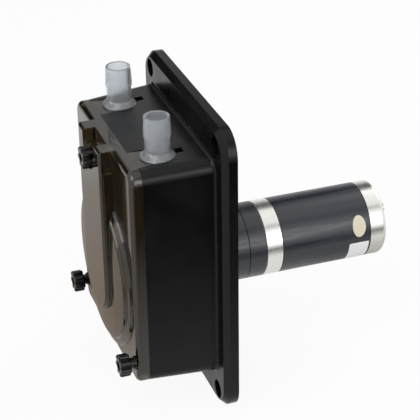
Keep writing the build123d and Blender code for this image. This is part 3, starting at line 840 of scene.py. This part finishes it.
class PUMPHEAD_OT_tube(bpy.types.Operator):
    """Build the pump tube, round in its legs and pressed flat under the rollers"""

    bl_idname = "pumphead.tube"
    bl_label = "Pump tube"

    def execute(self, context):
        build_tube(context.scene.pump_tube, pump_tube_rubber(context.scene.pump_colours.tube))
        return {"FINISHED"}


class PUMPHEAD_OT_rotor(bpy.types.Operator):
    """Finish the rotor, its rollers, its shaft and bearing, and their fasteners"""

    bl_idname = "pumphead.rotor"
    bl_label = "Rotor"

    def execute(self, context):
        colours = context.scene.pump_colours
        numbers = range(1, ROLLER_COUNT + 1)
        screws = ("rotor_screws", "shaft_washer", "shaft_screw", "drive_screws")
        dress(glass_filled_nylon(colours.rotor), "rotor_carrier", "rotor_front_plate")
        dress(turned_acetal(colours.rollers), *[f"roller_{number}" for number in numbers])
        dress(turned_brass(colours.brass), *[f"roller_bushes_{number}" for number in numbers])
        dress(ground_steel(colours.steel), "output_shaft", "shaft_key", "roller_pins", "output_bearing")
        dress(zinc_plated_steel(colours.zinc), *screws)
        return {"FINISHED"}


class PUMPHEAD_OT_gearmotor(bpy.types.Operator):
    """Finish the gearbox and the motor"""

    bl_idname = "pumphead.gearmotor"
    bl_label = "Gearmotor"

    def execute(self, context):
        colours = context.scene.pump_colours
        dress(stoved_enamel(colours.enamel), "gearbox_front", "gearbox_rear", "motor_can")
        dress(turned_aluminium(colours.aluminium), "adapter_ring", "motor_end_cap")
        dress(zinc_plated_steel(colours.zinc), "cap_screws")
        dress(glass_filled_nylon(colours.rotor), "terminal_blocks")
        dress(turned_brass(colours.brass), "terminals")
        return {"FINISHED"}


class PUMPHEAD_OT_stickers(bpy.types.Operator):
    """Lay the bare oval sticker and the bare label on the motor"""

    bl_idname = "pumphead.stickers"
    bl_label = "Stickers"

    def execute(self, context):
        colours = context.scene.pump_colours
        sizes = context.scene.pump_stickers
        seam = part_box("motor_can")[1][1]
        lay_sticker(
            "oval_sticker",
            coated_paper("cream_sticker_paper", colours.cream),
            size=(sizes.oval_length, sizes.oval_width),
            corner=(sizes.oval_length / 2, sizes.oval_width / 2),
            middle=seam - sizes.oval_inset,
            angle=sizes.oval_angle,
            thickness=sizes.thickness,
        )
        lay_sticker(
            "motor_label",
            coated_paper("label_paper", colours.paper),
            size=(sizes.label_length, sizes.label_width),
            corner=(sizes.label_corner, sizes.label_corner),
            middle=seam - sizes.label_inset,
            angle=sizes.label_angle,
            thickness=sizes.thickness,
        )
        return {"FINISHED"}


class PUMPHEAD_OT_stage(bpy.types.Operator):
    """Set up the floor, the cards, the lamps, the world and the camera"""

    bl_idname = "pumphead.stage"
    bl_label = "Stage"

    def execute(self, context):
        stage = context.scene.pump_stage
        context.scene.view_settings.view_transform = "Standard"
        light_world(stage.sky_strength)
        build_floor(stage)
        build_cards()
        for name, (place, side) in LAMPS.items():
            soft_box(name, place, side, getattr(stage, f"{name}_power"))
        place_camera(stage)
        return {"FINISHED"}


OPERATORS = (
    PUMPHEAD_OT_housing,
    PUMPHEAD_OT_cover,
    PUMPHEAD_OT_thumb_screws,
    PUMPHEAD_OT_ports,
    PUMPHEAD_OT_tube,
    PUMPHEAD_OT_rotor,
    PUMPHEAD_OT_gearmotor,
    PUMPHEAD_OT_stickers,
    PUMPHEAD_OT_stage,
)


SETTINGS = {
    "pump_colours": PumpColours,
    "pump_tube": TubeSizes,
    "pump_stickers": StickerSizes,
    "pump_stage": StageSettings,
}


class PUMPHEAD_PT_panel(bpy.types.Panel):
    """Lists the pieces and finishes of the pump head"""

    bl_label = "Pump head"
    bl_idname = "PUMPHEAD_PT_panel"
    bl_space_type = "VIEW_3D"
    bl_region_type = "UI"
    bl_category = "Pump head"

    def draw(self, context):
        layout = self.layout
        for operator in OPERATORS:
            layout.operator(operator.bl_idname)
        for group in SETTINGS:
            settings = getattr(context.scene, group)
            box = layout.box()
            for name in settings.bl_rna.properties.keys():
                if name not in ("rna_type", "name"):
                    box.prop(settings, name)


def register():
    """Registers the settings, the operators and the panel."""
    for name, group in SETTINGS.items():
        bpy.utils.register_class(group)
        setattr(bpy.types.Scene, name, PointerProperty(type=group))
    for operator in OPERATORS:
        bpy.utils.register_class(operator)
    bpy.utils.register_class(PUMPHEAD_PT_panel)


def unregister():
    """Takes the panel, the operators and the settings away again."""
    bpy.utils.unregister_class(PUMPHEAD_PT_panel)
    for operator in reversed(OPERATORS):
        bpy.utils.unregister_class(operator)
    for name, group in reversed(SETTINGS.items()):
        delattr(bpy.types.Scene, name)
        bpy.utils.unregister_class(group)


def main():
    """Builds everything in order."""
    register()
    bpy.ops.pumphead.housing()
    bpy.ops.pumphead.cover()
    bpy.ops.pumphead.thumb_screws()
    bpy.ops.pumphead.ports()
    bpy.ops.pumphead.tube()
    bpy.ops.pumphead.rotor()
    bpy.ops.pumphead.gearmotor()
    bpy.ops.pumphead.stickers()
    bpy.ops.pumphead.stage()


if __name__ == "__main__":
    main()
